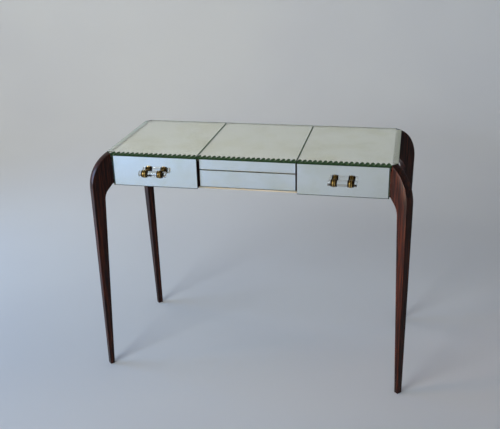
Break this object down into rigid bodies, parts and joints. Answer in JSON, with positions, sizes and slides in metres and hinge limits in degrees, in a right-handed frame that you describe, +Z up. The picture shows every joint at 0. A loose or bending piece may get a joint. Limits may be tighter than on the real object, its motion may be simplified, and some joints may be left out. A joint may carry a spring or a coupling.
{
  "type": "dressing table",
  "caption": "Mirrored dressing table on dark sabre legs set across the corners, with fluted glass edges, drawers with glass rod pulls and a lift-up lid over a centre well.",
  "frame": {"origin": "on the floor under the middle of the table", "axes": "+X to the right as seen by the sitter, +Y from the drawers to the back, +Z up"},
  "size_m": [0.9972, 0.489, 0.75],
  "materials": {
    "dark_wood": "dark stained and polished",
    "pale_wood": "planed and waxed",
    "mirror_glass": "silvered glass, slightly aged",
    "clear_glass": "polished clear glass",
    "brass": "turned, lightly tarnished"
  },
  "bodies": {
    "table": {"back_left_leg": "dark_wood", "back_panel": "dark_wood", "back_right_leg": "dark_wood", "front_left_leg": "dark_wood", "front_right_leg": "dark_wood", "left_divider": "dark_wood", "left_hinge_fixed_leaf": "brass", "left_hinge_pin": "brass", "left_inner_runner": "pale_wood", "left_outer_runner": "pale_wood", "left_side_mirror": "mirror_glass", "left_side_panel": "pale_wood", "left_top_board": "pale_wood", "left_top_mirror": "mirror_glass", "right_divider": "dark_wood", "right_hinge_fixed_leaf": "brass", "right_hinge_pin": "brass", "right_inner_runner": "pale_wood", "right_outer_runner": "pale_wood", "right_side_mirror": "mirror_glass", "right_side_panel": "pale_wood", "right_top_board": "pale_wood", "right_top_mirror": "mirror_glass", "well_back_rail": "pale_wood", "well_bottom": "pale_wood", "well_front_mirror": "mirror_glass", "well_front_rail": "dark_wood"},
    "lid": {"left_hinge_moving_leaf": "brass", "lid_back_rail": "dark_wood", "lid_front_mirror": "mirror_glass", "lid_front_rail": "dark_wood", "lid_left_rail": "dark_wood", "lid_panel": "dark_wood", "lid_right_rail": "dark_wood", "lid_top_mirror": "mirror_glass", "right_hinge_moving_leaf": "brass", "vanity_mirror": "mirror_glass", "vanity_mirror_beads": "dark_wood"},
    "left_drawer": {"left_drawer_back": "pale_wood", "left_drawer_bottom": "pale_wood", "left_drawer_front": "dark_wood", "left_drawer_inner_side": "pale_wood", "left_drawer_mirror": "mirror_glass", "left_drawer_outer_side": "pale_wood", "left_pull_collars": "brass", "left_pull_nuts": "brass", "left_pull_rod": "clear_glass"},
    "right_drawer": {"right_drawer_back": "pale_wood", "right_drawer_bottom": "pale_wood", "right_drawer_front": "dark_wood", "right_drawer_inner_side": "pale_wood", "right_drawer_mirror": "mirror_glass", "right_drawer_outer_side": "pale_wood", "right_pull_collars": "brass", "right_pull_nuts": "brass", "right_pull_rod": "clear_glass"}
  },
  "joints": [
    {"name": "lid_hinge", "type": "hinge", "parent": "table", "child": "lid", "pos_m": [0, 0.184, 0.7057], "axis": [-1, 0, 0], "range_deg": [0, 100]},
    {"name": "left_drawer_slide", "type": "slide", "parent": "table", "child": "left_drawer", "axis": [0, -1, 0], "range_m": [0, 0.24]},
    {"name": "right_drawer_slide", "type": "slide", "parent": "table", "child": "right_drawer", "axis": [0, -1, 0], "range_m": [0, 0.24]}
  ]
}
